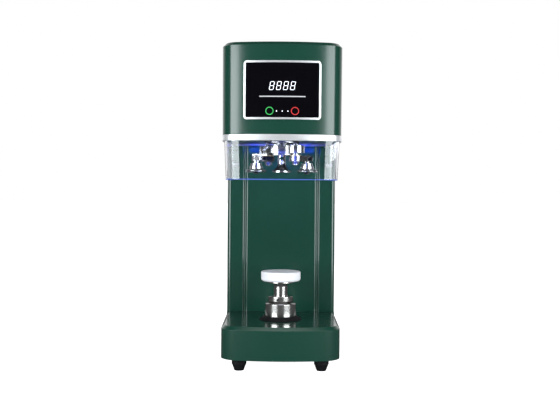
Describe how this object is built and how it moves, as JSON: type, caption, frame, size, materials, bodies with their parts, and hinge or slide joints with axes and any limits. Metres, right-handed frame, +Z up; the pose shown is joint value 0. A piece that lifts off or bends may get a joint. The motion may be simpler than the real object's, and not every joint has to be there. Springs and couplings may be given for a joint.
{
  "type": "can sealing machine",
  "caption": "Desktop can sealing machine with bowed green head over a clear guard, two seaming rollers round a chuck, and a lifting tray on a low base",
  "frame": {"origin": "on the table, under the middle of the machine's footprint", "axes": "+Z up, +X to the operator's right, the operator stands in front at -Y"},
  "size_m": [0.26, 0.4616, 0.706],
  "materials": {
    "green_paint": "satin gloss powder coat, dark green",
    "zinc_steel": "zinc-plated steel",
    "black_rubber": "matt black rubber",
    "satin_aluminium": "satin anodised",
    "clear_guard": "clear polycarbonate, polished",
    "stud_steel": "polished",
    "black_glass": "gloss black glass",
    "circuit_board": "solder resist",
    "blue_light": "blue light strip",
    "black_plastic": "fine moulded grain",
    "polished_steel": "turned and polished stainless steel",
    "spring_steel": "bright spring wire",
    "black_oxide": "black oxide",
    "cast_aluminium": "dark painted casting",
    "brass": "satin brass",
    "white_acetal": "turned white acetal"
  },
  "bodies": {
    "machine": {"base_housing": "green_paint", "base_plate": "zinc_steel", "foot_front_left": "black_rubber", "foot_front_right": "black_rubber", "foot_rear_left": "black_rubber", "foot_rear_right": "black_rubber", "column_cover_left": "green_paint", "column_cover_right": "green_paint", "column_front_panel": "green_paint", "rear_cover": "green_paint", "column_frame": "zinc_steel", "head_plate": "zinc_steel", "trim_band": "satin_aluminium", "head_cover": "green_paint", "guard": "clear_guard", "guard_stud_left": "stud_steel", "guard_stud_right": "stud_steel", "panel_frame": "satin_aluminium", "display_glass": "black_glass", "display_board": "circuit_board", "led_bar": "blue_light", "power_inlet": "black_plastic", "switch_housing": "black_plastic", "seal_ring": "black_rubber", "plunger_guide": "polished_steel", "spindle_housing": "polished_steel", "spindle_bearing_lower": "polished_steel", "spindle_bearing_upper": "polished_steel", "centre_shaft": "polished_steel", "shaft_bridge": "zinc_steel", "chuck": "polished_steel", "drive_motor": "cast_aluminium", "turret_belt": "black_rubber", "feed_brake": "brass", "lift_motor": "cast_aluminium", "lift_bracket": "zinc_steel", "lever_pin": "polished_steel"},
    "motor_rotor": {"motor_shaft": "polished_steel", "motor_pulley": "cast_aluminium"},
    "turret": {"turret_spindle": "polished_steel", "turret_pulley": "cast_aluminium", "turret_hub": "polished_steel", "pivot_pin_first": "black_oxide", "pivot_pin_second": "black_oxide", "arm_spring": "spring_steel"},
    "feed": {"feed_tube": "polished_steel", "feed_drum": "cast_aluminium"},
    "arm_first": {"roller_arm_first": "polished_steel", "roller_pin_first": "black_oxide"},
    "arm_second": {"roller_arm_second": "polished_steel", "roller_pin_second": "black_oxide"},
    "roller_first": {"seaming_roller_first": "polished_steel"},
    "roller_second": {"seaming_roller_second": "polished_steel"},
    "plunger": {"lift_plunger": "polished_steel", "lock_collar": "polished_steel"},
    "tray": {"tray_post": "polished_steel", "tray_disc": "white_acetal"},
    "lever": {"lift_lever": "black_oxide"},
    "cam": {"lift_cam": "polished_steel"},
    "rocker": {"power_rocker": "black_plastic"}
  },
  "joints": [
    {"name": "turret_spin", "type": "hinge", "parent": "machine", "child": "turret", "pos_m": [0, -0.102, 0.48], "axis": [0, 0, 1], "continuous": true},
    {"name": "motor_spin", "type": "hinge", "parent": "machine", "child": "motor_rotor", "pos_m": [0, 0.11, 0.58], "axis": [0, 0, 1], "continuous": true},
    {"name": "roller_feed", "type": "hinge", "parent": "turret", "child": "feed", "pos_m": [0, -0.102, 0.47], "axis": [0, 0, 1], "range_deg": [-6.5, 6.5], "stiffness_Nm_per_rad": 1.5},
    {"name": "arm_first_swing", "type": "hinge", "parent": "turret", "child": "arm_first", "pos_m": [0.0306, -0.132, 0.46], "axis": [0, 0, 1], "range_deg": [-19.6, 19.6]},
    {"name": "arm_second_swing", "type": "hinge", "parent": "turret", "child": "arm_second", "pos_m": [-0.0306, -0.072, 0.46], "axis": [0, 0, 1], "range_deg": [-19.6, 19.6], "deforming": ["arm_spring"]},
    {"name": "roller_first_spin", "type": "hinge", "parent": "arm_first", "child": "roller_first", "pos_m": [0.0575, -0.102, 0.44], "axis": [0, 0, 1], "continuous": true},
    {"name": "roller_second_spin", "type": "hinge", "parent": "arm_second", "child": "roller_second", "pos_m": [-0.0575, -0.102, 0.44], "axis": [0, 0, 1], "continuous": true},
    {"name": "tray_lift", "type": "slide", "parent": "machine", "child": "plunger", "axis": [0, 0, 1], "range_m": [0, 0.02]},
    {"name": "tray_height", "type": "slide", "parent": "plunger", "child": "tray", "axis": [0, 0, 1], "range_m": [-0.021, 0.03]},
    {"name": "lift_lever_tilt", "type": "hinge", "parent": "machine", "child": "lever", "pos_m": [0, 0.078, 0.05], "axis": [-1, 0, 0], "range_deg": [0, 6.6]},
    {"name": "lift_cam_turn", "type": "hinge", "parent": "machine", "child": "cam", "pos_m": [0, 0.138, 0.0773], "axis": [-1, 0, 0], "range_deg": [0, 272]},
    {"name": "power_rocker_tilt", "type": "hinge", "parent": "machine", "child": "rocker", "pos_m": [0.062, 0.2233, 0.18], "axis": [1, 0, 0], "range_deg": [-20, 0]}
  ],
  "couplings": [
    {"joint": "motor_spin", "follows": "turret_spin", "ratio": 2.0455},
    {"joint": "arm_first_swing", "follows": "roller_feed", "ratio": -3},
    {"joint": "arm_second_swing", "follows": "roller_feed", "ratio": 3},
    {"joint": "lift_lever_tilt", "follows": "tray_lift", "rad_per_m": 5.5556},
    {"joint": "lift_cam_turn", "follows": "tray_lift", "rad_per_m": 235.62}
  ]
}
